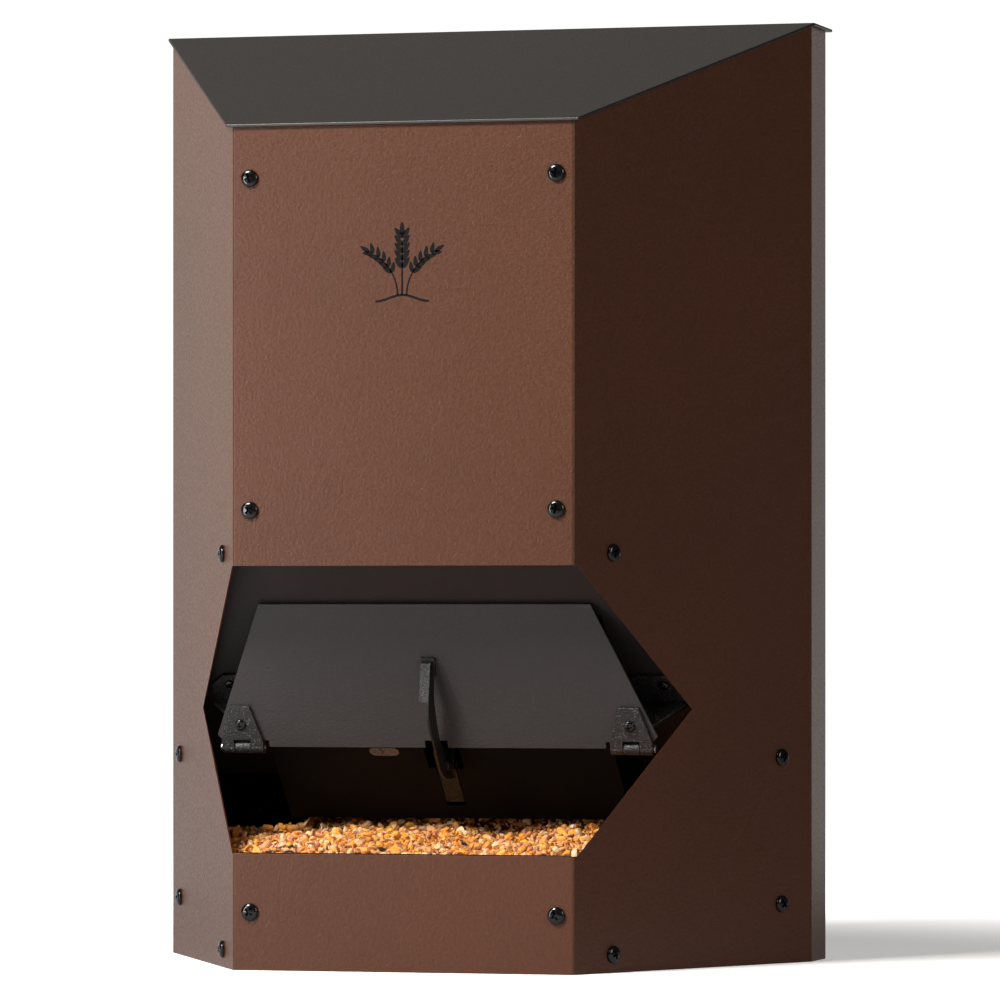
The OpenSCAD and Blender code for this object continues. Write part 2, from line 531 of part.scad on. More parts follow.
// knuckle spans of one roof hinge
RK = [120, 141.8, 142.2, 157.8, 158.2, 180];
module roof_pin_axis(x0, x1, r) translate([x0, rhy, rhz]) rotate([0, 90, 0]) cylinder(h = x1 - x0, r = r);
module roof_hinge_leaves() color(STEEL) place() both() difference() {
  union() {
    translate([RK[0], depth, 624]) cube([RK[5] - RK[0], 1.5, 22]);
    for (k = [0, 4]) {
      translate([RK[k], depth, 640]) cube([RK[k + 1] - RK[k], 1.5, rhz - 640]);
      roof_pin_axis(RK[k], RK[k + 1], rkr);
      translate([RK[k], depth, rhz - 2]) cube([RK[k + 1] - RK[k], 4, 2]);
    }
  }
  roof_pin_axis(100, 200, rpin + 0.02);
  for (x = [130, 170], z = [630, 640]) translate([x, depth + 5, z]) rotate([90, 0, 0]) cylinder(h = 10, r = 2.05);
}
module roof_hinge_straps() color(STEEL) place() both() difference() {
  union() {
    translate([RK[0], 222, top_z - roof_t - 1.5]) cube([RK[5] - RK[0], 30, 1.5]);
    translate([RK[2], 222, top_z - roof_t - 1.5]) cube([RK[3] - RK[2], rhy - 222, 1.5]);
    translate([RK[2], rhy - 2, rhz]) cube([RK[3] - RK[2], 4, top_z - roof_t - rhz]);
    roof_pin_axis(RK[2], RK[3], rkr);
  }
  roof_pin_axis(100, 200, rpin + run_c);
}
module roof_hinge_pins() color(STEEL) place() both() roof_pin_axis(RK[0] - 1, RK[5] + 1, rpin);
module roof_hinge_rivets() color(STEEL) place() both() for (x = [130, 170], z = [630, 640])
  translate([x, depth, z]) rotate([90, 0, 0]) rotate_extrude() polygon([[0, -2.7], [2.6, -2.7], [3.4, -1.9], [3.4, -1.5], [2, -1.5], [2, 1.5], [3.4, 1.5], [3.4, 2], [2.6, 2.8], [0, 2.8]]);

front_shell();
back_panel();
base_pan();
feed_tray();
rear_ramp();
hopper_baffle();
top_brace();
drive_housing();
drive_cover();
cover_screws();
hinge_bracket_left();
hinge_bracket_right();
hinge_pin_left();
hinge_pin_right();
bracket_screws();
bracket_nuts();
casing_screws();
casing_nuts();
gear_motor();
gearbox();
motor_saddle();
battery_box();
battery_cells();
control_board();
board_standoffs();
status_light();
battery_lead();
motor_lead();
roof_hinge_leaves();
roof_hinge_pins();
roof_hinge_rivets();
feed_bed();
roof_lid();
roof_stiffener();
roof_hinge_straps();
door_flap();
door_hinge_leaf_left();
door_hinge_leaf_right();
door_screws();
door_nuts();
lift_arm();
arm_screw();
arm_pivot_pin();
drive_crank();
crank_shaft();
crank_pin();
drive_link();
push_button();
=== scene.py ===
import math
import random
import bpy
import bmesh
import numpy as np
from mathutils import Matrix, Vector, Euler


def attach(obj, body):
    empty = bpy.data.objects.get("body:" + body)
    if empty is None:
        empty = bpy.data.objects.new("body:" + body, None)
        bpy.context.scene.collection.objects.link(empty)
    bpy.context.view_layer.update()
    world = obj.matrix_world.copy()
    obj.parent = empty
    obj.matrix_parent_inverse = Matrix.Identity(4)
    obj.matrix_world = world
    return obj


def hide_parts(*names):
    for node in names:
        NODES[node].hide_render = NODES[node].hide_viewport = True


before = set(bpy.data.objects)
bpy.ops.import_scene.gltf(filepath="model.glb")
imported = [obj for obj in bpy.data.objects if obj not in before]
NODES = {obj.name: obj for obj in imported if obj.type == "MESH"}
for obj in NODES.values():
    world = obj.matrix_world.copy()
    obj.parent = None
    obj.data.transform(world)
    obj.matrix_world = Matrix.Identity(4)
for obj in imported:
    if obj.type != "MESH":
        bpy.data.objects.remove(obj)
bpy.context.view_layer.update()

MM = 0.001
YM = 0.1333                      # the front panel's outer face is at y = -YM
scene = bpy.context.scene
coll = scene.collection


def P(x, y, z):
    """millimetres, y from the front panel's outer face, to the frame in metres"""
    return Vector((x * MM, y * MM - YM, z * MM))


# ------------------------------------------------------------------ node helpers
class Mat:
    def __init__(self, name):
        self.m = bpy.data.materials.new(name)
        self.m.use_nodes = True
        self.nt = self.m.node_tree
        self.nt.nodes.clear()
        self.out = self.nt.nodes.new("ShaderNodeOutputMaterial")
        self.bs = self.nt.nodes.new("ShaderNodeBsdfPrincipled")
        self.link(self.bs.outputs[0], self.out.inputs[0])
        self.tc = self.nt.nodes.new("ShaderNodeTexCoord")
        self.obj = self.tc.outputs["Object"]

    def node(self, kind, **kw):
        n = self.nt.nodes.new(kind)
        for k, v in kw.items():
            setattr(n, k, v)
        return n

    def link(self, a, b):
        self.nt.links.new(a, b)

    def set(self, **kw):
        names = {"base": "Base Color", "rough": "Roughness", "metal": "Metallic", "spec": "Specular IOR Level",
                 "coat": "Coat Weight", "coat_rough": "Coat Roughness", "ior": "IOR", "sheen": "Sheen Weight",
                 "sheen_rough": "Sheen Roughness", "trans": "Transmission Weight", "sss": "Subsurface Weight"}
        for k, v in kw.items():
            s = self.bs.inputs[names[k]]
            s.default_value = (*v, 1.0) if k == "base" else v

    def vec(self, scale=(1, 1, 1), rot=(0, 0, 0)):
        m = self.node("ShaderNodeMapping")
        m.inputs["Scale"].default_value = scale
        m.inputs["Rotation"].default_value = rot
        self.link(self.obj, m.inputs["Vector"])
        return m.outputs[0]

    def noise(self, scale, detail=3.0, rough=0.5, vec=None, dist=0.0):
        n = self.node("ShaderNodeTexNoise")
        n.inputs["Scale"].default_value = scale
        n.inputs["Detail"].default_value = detail
        n.inputs["Roughness"].default_value = rough
        n.inputs["Distortion"].default_value = dist
        self.link(vec or self.obj, n.inputs["Vector"])
        return n.outputs["Fac"]

    def voronoi(self, scale, feature="F1", vec=None, out="Distance", rand=1.0):
        n = self.node("ShaderNodeTexVoronoi", feature=feature)
        n.inputs["Scale"].default_value = scale
        n.inputs["Randomness"].default_value = rand
        self.link(vec or self.obj, n.inputs["Vector"])
        return n.outputs[out]

    def ramp(self, fac, stops):
        n = self.node("ShaderNodeValToRGB")
        el = n.color_ramp.elements
        while len(el) < len(stops):
            el.new(0.5)
        for e, (p, c) in zip(el, stops):
            e.position = p
            e.color = (*c, 1.0) if len(c) == 3 else c
        self.link(fac, n.inputs[0])
        return n.outputs[0]

    def remap(self, fac, a, b, c, d):
        n = self.node("ShaderNodeMapRange")
        for i, v in zip(("From Min", "From Max", "To Min", "To Max"), (a, b, c, d)):
            n.inputs[i].default_value = v
        self.link(fac, n.inputs["Value"])
        return n.outputs[0]

    def math(self, op, a, b=None, clamp=False):
        n = self.node("ShaderNodeMath", operation=op, use_clamp=clamp)
        for i, v in enumerate((a, b)):
            if v is None:
                continue
            if isinstance(v, (int, float)):
                n.inputs[i].default_value = v
            else:
                self.link(v, n.inputs[i])
        return n.outputs[0]

    def mix(self, fac, a, b, mode="MIX"):
        n = self.node("ShaderNodeMix", data_type="RGBA", blend_type=mode)
        for i, v in ((0, fac), (6, a), (7, b)):
            if isinstance(v, (int, float)):
                n.inputs[i].default_value = v
            elif isinstance(v, tuple):
                n.inputs[i].default_value = (*v, 1.0)
            else:
                self.link(v, n.inputs[i])
        return n.outputs[2]

    def base(self, c):
        self.link(c, self.bs.inputs["Base Color"])

    def rough(self, r):
        self.link(r, self.bs.inputs["Roughness"])

    def bump(self, height, strength, dist, prev=None):
        n = self.node("ShaderNodeBump")
        n.inputs["Strength"].default_value = strength
        n.inputs["Distance"].default_value = dist
        self.link(height, n.inputs["Height"])
        if prev:
            self.link(prev, n.inputs["Normal"])
        self.link(n.outputs[0], self.bs.inputs["Normal"])
        return n.outputs[0]


def scale_c(c, k):
    return tuple(min(1.0, v * k) for v in c)


def powder(name, col, rough=0.5, fine=1050.0, bump=0.5, depth=0.00022, var=0.10, warm=(1.0, 1.0, 1.0), spec=0.5,
           painted_glint=0.0, dust=0.0, painted_glint_gain=4.5):
    """fine-textured powder coat: leathery grain, faint cloudiness, a little rub and dust, and optional painted glints
    (bright specks in the base colour)
    """
    m = Mat(name)
    cloud = m.noise(5.5, 4, 0.55)
    cloud2 = m.noise(48, 3, 0.6)
    grain = m.noise(fine, 2.5, 0.62)
    leather = m.voronoi(fine * 0.62, "SMOOTH_F1", rand=1.0)
    a = m.mix(m.remap(cloud, 0.3, 0.7, 0, 1), scale_c(col, 1 - var), tuple(v * w for v, w in zip(scale_c(col, 1 + var), warm)))
    a = m.mix(m.remap(cloud2, 0.35, 0.65, 0, 0.35), a, scale_c(col, 1 + var * 1.2))
    # pits between the grains read darker, crowns lighter
    a = m.mix(m.remap(grain, 0.30, 0.72, 0.0, 0.42), a, m.mix(1.0, a, (1.35, 1.33, 1.30), "MULTIPLY"))
    a = m.mix(m.remap(leather, 0.02, 0.55, 0.28, 0.0), a, scale_c(col, 0.55))
    # painted glints: sparse specks of much brighter base colour stand in for specular sparkle
    if painted_glint:
        sp = m.voronoi(1500, "F1", out="Color")
        s = m.node("ShaderNodeSeparateColor")
        m.link(sp, s.inputs[0])
        g = m.remap(s.outputs[0], 0.90, 1.0, 0.0, painted_glint)
        a = m.mix(g, a, scale_c(col, painted_glint_gain))
    if dust:
        # pale dust that settles on the lower part of the surface
        sep = m.node("ShaderNodeSeparateXYZ")
        m.link(m.obj, sep.inputs[0])
        low = m.remap(sep.outputs[2], 0.124, 0.092, 0.0, 1.0)
        spot = m.voronoi(620, "F1")
        pick = m.voronoi(620, "F1", out="Color")
        ps = m.node("ShaderNodeSeparateColor")
        m.link(pick, ps.inputs[0])
        patch = m.remap(m.noise(16, 2, 0.5), 0.46, 0.66, 0.0, 0.62)
        gate = m.math("GREATER_THAN", m.math("MULTIPLY", m.math("MULTIPLY", patch, low), dust), m.math("POWER", ps.outputs[0], 0.6))
        dd = m.math("MULTIPLY", gate, m.remap(spot, 0.18, 0.34, 1.0, 0.0))
        a = m.mix(dd, a, (0.62, 0.42, 0.22))
    m.base(a)
    m.rough(m.remap(m.noise(fine * 0.8, 2, 0.5), 0.3, 0.7, rough - 0.07, rough + 0.09))
    h = m.math("ADD", m.math("MULTIPLY", grain, 0.75), m.math("MULTIPLY", leather, 0.6))
    m.bump(h, bump, depth)
    m.set(spec=spec)
    return m


def plain(name, col, rough=0.4, metal=0.0, spec=0.5, var=0.12, scale=60, bump=0.1, bscale=700, depth=0.0001, coat=0.0, grain=None):
    m = Mat(name)
    n = m.noise(scale, 4, 0.6)
    c = m.mix(m.remap(n, 0.3, 0.7, 0, 1), scale_c(col, 1 - var), scale_c(col, 1 + var))
    if grain:
        g = m.noise(grain, 2, 0.7)
        c = m.mix(m.remap(g, 0.35, 0.7, 0.0, 0.55), c, scale_c(col, 1.9))
    m.base(c)
    m.rough(m.remap(m.noise(scale * 3, 3, 0.6), 0.3, 0.7, max(0.03, rough - 0.08), min(1, rough + 0.10)))
    m.bump(m.noise(bscale, 3, 0.6), bump, depth)
    m.set(metal=metal, spec=spec, coat=coat)
    if coat:
        m.set(coat_rough=0.06)
    return m


BROWN = (0.0735, 0.0275, 0.0145)
M = {}
M["case"] = powder("case_brown", BROWN, rough=0.35, fine=720, bump=0.60, depth=0.00036, var=0.06, warm=(1.05, 0.97, 0.92), spec=0.30)
# lighter reddish brown for the casing's cut faces and bevels: painted edge highlight
M["case_edge_highlight"] = powder("case_brown_edge_highlight", (0.19, 0.060, 0.033), rough=0.42, fine=1200, bump=0.2, depth=0.00010, var=0.12)
M["roof"] = powder("roof_dark", (0.0078, 0.0060, 0.0054), rough=0.52, fine=1150, bump=0.40, depth=0.00016, var=0.10, spec=0.62)
M["roof_edge"] = powder("roof_dark_edge", (0.006, 0.0055, 0.005), rough=0.40, fine=1400, bump=0.2, depth=0.00010)
M["black"] = powder("inner_black", (0.0026, 0.0025, 0.0027), rough=0.55, fine=900, bump=0.35, depth=0.00015, var=0.10, dust=0.5, spec=0.08)
M["baffle"] = powder("baffle_black", (0.0235, 0.0180, 0.0200), rough=0.46, fine=900, bump=0.5, depth=0.00025, var=0.08, spec=0.22)
M["flap"] = powder("flap_dark", (0.0215, 0.0180, 0.0185), rough=0.50, fine=900, bump=0.8, depth=0.00035, var=0.08, painted_glint=0.16)
M["mould"] = powder("moulded_grain", (0.0085, 0.0078, 0.0082), rough=0.40, fine=1250, bump=1.0, depth=0.00055, var=0.12, painted_glint=1.1, painted_glint_gain=15)
M["arm"] = powder("arm_grain", (0.0050, 0.0047, 0.0050), rough=0.40, fine=1250, bump=1.0, depth=0.00055, var=0.12, painted_glint=0.8, painted_glint_gain=16, spec=0.36)
M["box"] = plain("box_plastic", (0.02, 0.02, 0.021), rough=0.42, bump=0.3, bscale=1500, depth=0.0001)
M["zinc"] = plain("zinc_steel", (0.62, 0.62, 0.60), rough=0.34, metal=1.0, var=0.10, scale=140, bump=0.15, bscale=900)
M["screw"] = plain("black_oxide", (0.004, 0.004, 0.0042), rough=0.13, var=0.2, scale=200, bump=0.03, bscale=800)
# near-black and almost unreflective, so the drive pins, crank and link sit as dark as the shaded slot behind the flap:
# painted shade
M["dark"] = plain("drive_black_as_shade", (0.0022, 0.0021, 0.0021), rough=0.42, metal=0.0, spec=0.07, var=0.15, scale=160, bump=0.2, bscale=900)
M["cell"] = plain("cell_wrap", (0.03, 0.14, 0.07), rough=0.25, var=0.1, scale=40, coat=0.3)
M["board"] = plain("board_green", (0.01, 0.10, 0.04), rough=0.35, var=0.25, scale=260, bump=0.25, bscale=500)
M["lens"] = plain("smoked_pane", (0.085, 0.066, 0.064), rough=0.22, var=0.06, scale=100, bump=0.05, spec=0.5)
M["wire"] = plain("wire_cover", (0.02, 0.02, 0.02), rough=0.35, var=0.2, scale=120)
M["wire_red"] = plain("wire_red", (0.35, 0.02, 0.015), rough=0.35, var=0.2, scale=120)
M["print"] = plain("printed_black", (0.0035, 0.003, 0.003), rough=0.6, var=0.2, scale=300, bump=0.5, bscale=640, depth=0.00025, spec=0.12)

SLOTS = {
    "case": ["front_shell", "back_panel"],
    "baffle": ["hopper_baffle"],
    "black": ["base_pan", "feed_tray", "rear_ramp", "top_brace", "drive_housing", "drive_cover", "roof_stiffener"],
    "roof": ["roof_lid"],
    "flap": ["door_flap"],
    "mould": ["hinge_bracket_left", "hinge_bracket_right", "door_hinge_leaf_left", "door_hinge_leaf_right"],
    "arm": ["lift_arm"],
    "box": ["motor_saddle", "battery_box"],
    "zinc": ["hinge_pin_left", "hinge_pin_right", "bracket_nuts", "casing_nuts", "door_nuts", "gear_motor", "gearbox", "board_standoffs",
             "roof_hinge_leaves", "roof_hinge_pins", "roof_hinge_rivets", "roof_hinge_straps"],
    "dark": ["arm_pivot_pin", "crank_shaft", "crank_pin", "drive_crank", "drive_link"],
    "screw": ["casing_screws", "bracket_screws", "door_screws", "cover_screws", "arm_screw"],
    "cell": ["battery_cells"], "board": ["control_board"], "lens": ["status_light", "push_button"],
    "wire_red": ["battery_lead"], "wire": ["motor_lead"], "case_edge_highlight": [],
}


def assign(o, *mats):
    o.data.materials.clear()
    for m in mats:
        o.data.materials.append(m.m)


def soften(o, width, seg=2, angle=32, edge_slot=-1):
    """merges the tessellation's split corners, then rounds the sharp edges"""
    me = o.data
    if "custom_normal" in me.attributes:
        me.attributes.remove(me.attributes["custom_normal"])
    for p in me.polygons:
        p.use_smooth = True
        p.material_index = 0
    w = o.modifiers.new("weld", "WELD")
    w.merge_threshold = 2e-6
    d = o.modifiers.new("flat", "DECIMATE")
    d.decimate_type = "DISSOLVE"
    d.angle_limit = math.radians(0.4)
    b = o.modifiers.new("round", "BEVEL")
    b.width = width
    b.segments = seg
    b.limit_method = "ANGLE"
    b.angle_limit = math.radians(angle)
    b.harden_normals = True
    b.use_clamp_overlap = True
    b.miter_outer = "MITER_ARC"
    if edge_slot >= 0:
        b.material = edge_slot
    n = o.modifiers.new("shade", "WEIGHTED_NORMAL")
    n.keep_sharp = True
    n.weight = 60


for key, names in SLOTS.items():
    for nm in names:
        assign(NODES[nm], M[key])

soften(NODES["door_flap"], 0.0004, 3)
for nm in ("back_panel", "base_pan", "feed_tray", "rear_ramp", "hopper_baffle", "top_brace", "drive_housing", "drive_cover", "roof_stiffener"):
    soften(NODES[nm], 0.0003, 2)
assign(NODES["roof_lid"], M["roof"], M["roof_edge"])
soften(NODES["roof_lid"], 0.0005, 3, angle=40, edge_slot=1)
for nm in ("hinge_bracket_left", "hinge_bracket_right", "door_hinge_leaf_left", "door_hinge_leaf_right"):
    soften(NODES[nm], 0.0005, 3)
soften(NODES["lift_arm"], 0.0007, 3, angle=40)
for nm in ("battery_box", "motor_saddle", "push_button", "drive_crank", "drive_link", "gear_motor", "gearbox", "roof_hinge_leaves",
           "roof_hinge_straps", "roof_hinge_rivets", "hinge_pin_left", "hinge_pin_right", "arm_pivot_pin", "crank_pin",
           "casing_nuts", "door_nuts", "bracket_nuts", "battery_cells", "control_board"):
    soften(NODES[nm], 0.00025, 2, angle=40)


# ------------------------------------------------------------------ mesh helpers
def new_obj(name, verts, faces, mats, smooth=False, mat_idx=None):
    me = bpy.data.meshes.new(name)
    me.from_pydata([tuple(v) for v in verts], [], faces)
    me.update()
    o = bpy.data.objects.new(name, me)
    coll.objects.link(o)
    for m in mats:
        me.materials.append(m.m)
    if smooth:
        me.polygons.foreach_set("use_smooth", [True] * len(me.polygons))
    if mat_idx is not None:
        me.polygons.foreach_set("material_index", mat_idx)
    return o


def applied(o):
    """replaces the object's mesh with the result of its modifiers"""
    dg = bpy.context.evaluated_depsgraph_get()
    me = bpy.data.meshes.new_from_object(o.evaluated_get(dg), depsgraph=dg)
    o.modifiers.clear()
    old = o.data
    o.data = me
    bpy.data.meshes.remove(old)
    return o


# ------------------------------------------------------------------ camera first
cam_d = bpy.data.cameras.new("cam")
cam_d.lens = 239.6
cam_d.sensor_width = 36.0
cam_d.shift_y = 0.117
cam_d.clip_end = 60
cam = bpy.data.objects.new("cam", cam_d)
cam.location = (1.282, -4.344 - YM, 0.242)
cam.rotation_euler = (math.radians(90), 0, math.radians(15.6))
coll.objects.link(cam)
scene.camera = cam

# ------------------------------------------------------------------ casing sheet with real bends
T = 1.5
BEND = 2.6


def casing():
    fh, bh, cd, dep = 120.8, 236.0, 216.0, 260.0
    path = [Vector((-bh, dep)), Vector((-bh, cd)), Vector((-fh, 0)), Vector((fh, 0)), Vector((bh, cd)), Vector((bh, dep))]
    outer, inner = [], []
    n_of = lambda d: Vector((d.y, -d.x))      # outward normal for this direction of travel
    for i, p in enumerate(path):
        if i in (0, len(path) - 1):
            d = (path[1] - path[0]).normalized() if i == 0 else (path[-1] - path[-2]).normalized()
            outer.append(p.copy())
            inner.append(p - n_of(d) * T)
            continue
        d1 = (p - path[i - 1]).normalized()
        d2 = (path[i + 1] - p).normalized()
        n1, n2 = n_of(d1), n_of(d2)
        turn = math.acos(max(-1, min(1, d1.dot(d2))))
        c = p - d1 * (BEND * math.tan(turn / 2)) - n1 * BEND
        steps = 7
        for k in range(steps + 1):
            a = math.atan2(n1.y, n1.x)
            b = math.atan2(n2.y, n2.x)
            t = (b - a + math.pi) % (2 * math.pi) - math.pi
            an = a + t * k / steps
            nn = Vector((math.cos(an), math.sin(an)))
            outer.append(c + nn * BEND)
            inner.append(c + nn * (BEND - T))
    zs = [0.0, 700.0]
    vs, fs = [], []
    n = len(outer)
    for z in zs:
        vs += [P(v.x, v.y, z) for v in outer]
        vs += [P(v.x, v.y, z) for v in inner]
    o0, i0, o1, i1 = 0, n, 2 * n, 3 * n
    for k in range(n - 1):
        fs.append((o0 + k, o0 + k + 1, o1 + k + 1, o1 + k))
        fs.append((i0 + k + 1, i0 + k, i1 + k, i1 + k + 1))
        fs.append((o1 + k, o1 + k + 1, i1 + k + 1, i1 + k))
        fs.append((o0 + k + 1, o0 + k, i0 + k, i0 + k + 1))
    for k in (0, n - 1):
        f = (o0 + k, o1 + k, i1 + k, i0 + k)
        fs.append(f if k == 0 else f[::-1])
    o = new_obj("casing_sheet", vs, fs, [M["case"], M["case_edge_highlight"]])
    bm = bmesh.new()
    bm.from_mesh(o.data)
    bmesh.ops.recalc_face_normals(bm, faces=bm.faces)
    bm.to_mesh(o.data)
    bm.free()

    def prism(name, pts2, plane, a, b):
        """pts2 in mm; plane 'xz' extrudes along y, 'yz' along x"""
        def q(p, h):
            return P(p[0], h, p[1]) if plane == "xz" else P(h, p[0], p[1])
        m = len(pts2)
        v = [q(p, a) for p in pts2] + [q(p, b) for p in pts2]
        f = [tuple(range(m)), tuple(range(2 * m - 1, m - 1, -1))]
        f += [(i, i + m, (i + 1) % m + m, (i + 1) % m) for i in range(m)]
        c = new_obj(name, v, f, [M["case_edge_highlight"]])
        bm = bmesh.new()
        bm.from_mesh(c.data)
        bmesh.ops.recalc_face_normals(bm, faces=bm.faces)
        bm.to_mesh(c.data)
        bm.free()
        return c

    # opening
    def hexa(r):
        pts = [(-122.4, 80), (122.4, 80), (177, 178.5), (122.4, 277), (-122.4, 277), (-177, 178.5)]
        out = []
        m = len(pts)
        for i in range(m):
            p = Vector(pts[i]); a = Vector(pts[i - 1]); b = Vector(pts[(i + 1) % m])
            d1 = (p - a).normalized(); d2 = (b - p).normalized()
            turn = math.acos(max(-1, min(1, d1.dot(d2))))
            s = p - d1 * r * math.tan(turn / 2)
            e = p + d2 * r * math.tan(turn / 2)
            for k in range(5):
                t = k / 4
                out.append(tuple((1 - t) ** 2 * s + 2 * t * (1 - t) * p + t * t * e))
        return out
    cut = prism("cut_open", hexa(0.8), "xz", -50, 150)
    slope = math.tan(math.atan2(79.5, 216.5))
    under = lambda y: 579.5 + (y + 2.5) * slope - 2 / math.cos(math.atan(slope)) - 0.4
    ridge = 214 + 2 * math.tan(math.atan(slope) / 2)
    top = prism("cut_top", [(-40, under(-40)), (ridge, 656.6), (400, 656.6), (400, 900), (-40, 900)], "yz", -400, 400)
    for c in (cut, top):
        b = o.modifiers.new("cut", "BOOLEAN")
        b.operation = "DIFFERENCE"
        b.solver = "EXACT"
        b.object = c
    applied(o)
    for c in (cut, top):
        me = c.data
        bpy.data.objects.remove(c)
        bpy.data.meshes.remove(me)
    for p in o.data.polygons:
        p.use_smooth = True
        p.material_index = 0
    # cut faces, across the sheet, take the lighter edge colour, a painted edge highlight; those inside the opening lie
    # off both outer faces
    sn = [Vector((0, 1, 0)), Vector((math.cos(math.atan2(115.2, 216)), -math.sin(math.atan2(115.2, 216)), 0)), Vector((1, 0, 0))]
    for p in o.data.polygons:
        c = p.center
        if 0.070 < c.z < 0.285 and abs(c.x) < 0.178 and p.area < 0.0008:
            n = p.normal
            m_ = max(abs(n.dot(sn[0])), abs(n.dot(sn[1])), abs(n.dot(Vector((-sn[1].x, sn[1].y, 0)))), abs(n.x) if abs(n.z) < 0.01 else 0)
            if abs(n.z) > 0.2 or m_ < 0.9:
                p.material_index = 1
    w = o.modifiers.new("weld", "WELD")
    w.merge_threshold = 2e-6
    # bevels take slot 1, the painted edge highlight
    b = o.modifiers.new("round", "BEVEL")
    b.width = 0.00030
    b.segments = 2
    b.limit_method = "ANGLE"
    b.angle_limit = math.radians(50)
    b.harden_normals = True
    b.material = 1
    nn = o.modifiers.new("shade", "WEIGHTED_NORMAL")
    nn.keep_sharp = True
    nn.weight = 60
    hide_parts("front_shell")
    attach(o, "casing")
    return o


casing()

# ------------------------------------------------------------------ pan-head screws with a cross recess
def pan_screw_mesh(head_d, head_h, shank_d, length, seg=48, recess=0.60):
    """head base on z = 0, axis +Z; millimetres"""
    r = head_d / 2
    prof = [(0.0, -length), (shank_d / 2 - 0.5, -length), (shank_d / 2, -length + 0.5)]
    pitch = max(0.7, shank_d * 0.17)
    z = -length + 0.8
    while z < -0.6:                      # thread crests
        prof += [(shank_d / 2 * 0.90, z), (shank_d / 2, z + pitch * 0.5)]
        z += pitch
    prof += [(shank_d / 2, -0.02), (r - 0.18, 0.0), (r, 0.16), (r, head_h * 0.34)]
    for k in range(1, 10):
        a = k / 9 * math.pi / 2
        prof.append((r - r * 0.52 * (1 - math.cos(a)) if k < 9 else r * 0.48, head_h * 0.34 + head_h * 0.58 * math.sin(a)))
    prof += [(r * 0.25, head_h * 0.985), (0.0, head_h)]
    bm = bmesh.new()
    rings = []
    for (x, zz) in prof:
        if x < 1e-6:
            rings.append([bm.verts.new((0, 0, zz * MM))])
        else:
            rings.append([bm.verts.new((x * math.cos(2 * math.pi * i / seg) * MM, x * math.sin(2 * math.pi * i / seg) * MM, zz * MM)) for i in range(seg)])
    for a, b in zip(rings, rings[1:]):
        for i in range(seg):
            j = (i + 1) % seg
            if len(a) == 1:
                bm.faces.new((a[0], b[j], b[i]))
            elif len(b) == 1:
                bm.faces.new((a[i], a[j], b[0]))
            else:
                bm.faces.new((a[i], a[j], b[j], b[i]))
    bmesh.ops.recalc_face_normals(bm, faces=bm.faces)
    me = bpy.data.meshes.new("screw")
    bm.to_mesh(me)
    bm.free()
    o = bpy.data.objects.new("screw_tmp", me)
    coll.objects.link(o)
    # tapered cross recess
    L, w, dp = r * recess, r * 0.135, head_h * 0.66
    vs, fs = [], []
    for k in range(2):
        c, s = (1, 0) if k == 0 else (0, 1)
        b0 = len(vs)
        for (ll, ww, zz) in ((L * 0.45, w * 0.6, head_h - dp), (L * 1.02, w * 1.12, head_h + 0.3)):
            for (sx, sy) in ((-1, -1), (1, -1), (1, 1), (-1, 1)):
                x, y = sx * ll, sy * ww
                vs.append((Vector((x * c - y * s, x * s + y * c, zz)) * MM))
        fs += [tuple(b0 + i for i in f) for f in ((3, 2, 1, 0), (4, 5, 6, 7), (0, 1, 5, 4), (1, 2, 6, 5), (2, 3, 7, 6), (3, 0, 4, 7))]
    cuts = []
    for k in range(2):
        c = new_obj("screw_cut", vs[k * 8:(k + 1) * 8], [tuple(i - k * 8 for i in f) for f in fs[k * 6:(k + 1) * 6]], [])
        bm = bmesh.new()
        bm.from_mesh(c.data)
        bmesh.ops.recalc_face_normals(bm, faces=bm.faces)
        bm.to_mesh(c.data)
        bm.free()
        m = o.modifiers.new("cut", "BOOLEAN")
        m.operation = "DIFFERENCE"
        m.solver = "EXACT"
        m.object = c
        cuts.append(c)
    applied(o)
    for c in cuts:
        d = c.data
        bpy.data.objects.remove(c)
        bpy.data.meshes.remove(d)
    me = o.data
    bpy.data.objects.remove(o)
    return me


def place_many(name, me, mats, transforms, body, node, angle=35):
    bm = bmesh.new()
    for t in transforms:
        tmp = me.copy()
        tmp.transform(t)
        bm.from_mesh(tmp)
        bpy.data.meshes.remove(tmp)
    bmesh.ops.remove_doubles(bm, verts=bm.verts, dist=1e-6)
    for f in bm.faces:
        f.smooth = True
    for e in bm.edges:
        if len(e.link_faces) == 2 and e.calc_face_angle(0) > math.radians(angle):
            e.smooth = False
    out = bpy.data.meshes.new(name)
    bm.to_mesh(out)
    bm.free()
    o = bpy.data.objects.new(name, out)
    coll.objects.link(o)
    out.materials.clear()
    for m in mats:
        out.materials.append(m.m)
    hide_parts(node)
    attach(o, body)
    return o


rnd = random.Random(5)
cha = math.atan2(216, 115.2)


def screw_at(x, y, z, phi, spin):
    return (Matrix.Translation(P(x, y, z)) @ Euler((math.radians(90), 0, phi), "XYZ").to_matrix().to_4x4()
            @ Matrix.Rotation(spin, 4, "Z"))


case_t = []
for s in (-1, 1):
    for (x, z) in ((108.7, 542.4), (108.7, 315), (108.7, 40)):
        case_t.append(screw_at(s * x, 0, z, 0, rnd.uniform(0, math.pi)))
    for (d, z) in ((39, 285.8), (39, 12.5), (212.5, 144), (212.5, 41.5)):
        case_t.append(screw_at(s * (120.8 + d * math.cos(cha)), d * math.sin(cha), z, s * cha, rnd.uniform(0, math.pi)))
m6 = pan_screw_mesh(12, 3.4, 6, 9.6)
place_many("casing_screws_fine", m6, [M["screw"]], case_t, "casing", "casing_screws")

